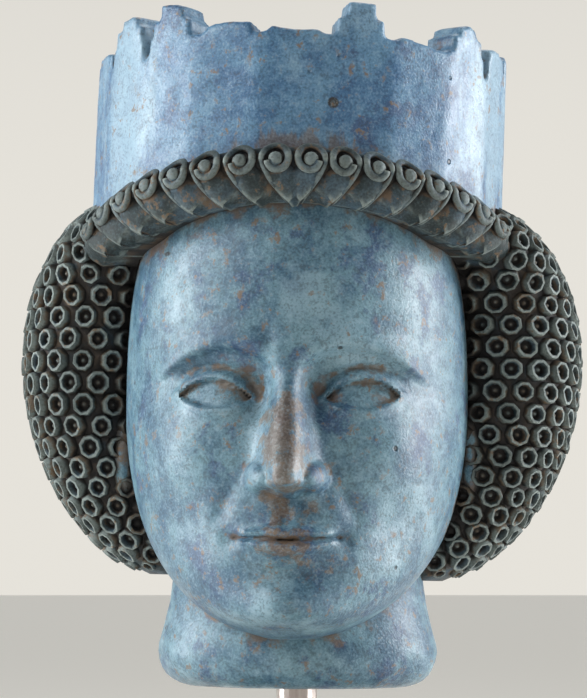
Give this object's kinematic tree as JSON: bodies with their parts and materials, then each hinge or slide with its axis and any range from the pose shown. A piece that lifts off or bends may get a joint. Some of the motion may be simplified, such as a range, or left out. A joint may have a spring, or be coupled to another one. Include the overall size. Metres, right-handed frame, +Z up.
{
  "type": "carved head with battlemented crown on display rod",
  "caption": "Small blue carved head with a stepped battlemented crown and curled hair, held on a round display rod in a plain square foot.",
  "frame": {"origin": "middle of the foot's underside, under the rod", "axes": "+Z up along the rod, the face looks along -Y, +X to the right of someone who looks at the face"},
  "size_m": [0.0587, 0.0558, 0.1047],
  "materials": {
    "blue_paste": "worn matte blue paste with earth in the hollows",
    "rod_metal": "satin",
    "foot_paint": "satin black paint"
  },
  "bodies": {
    "root": {"head": "blue_paste", "display_rod": "rod_metal", "foot": "foot_paint"}
  },
  "joints": []
}
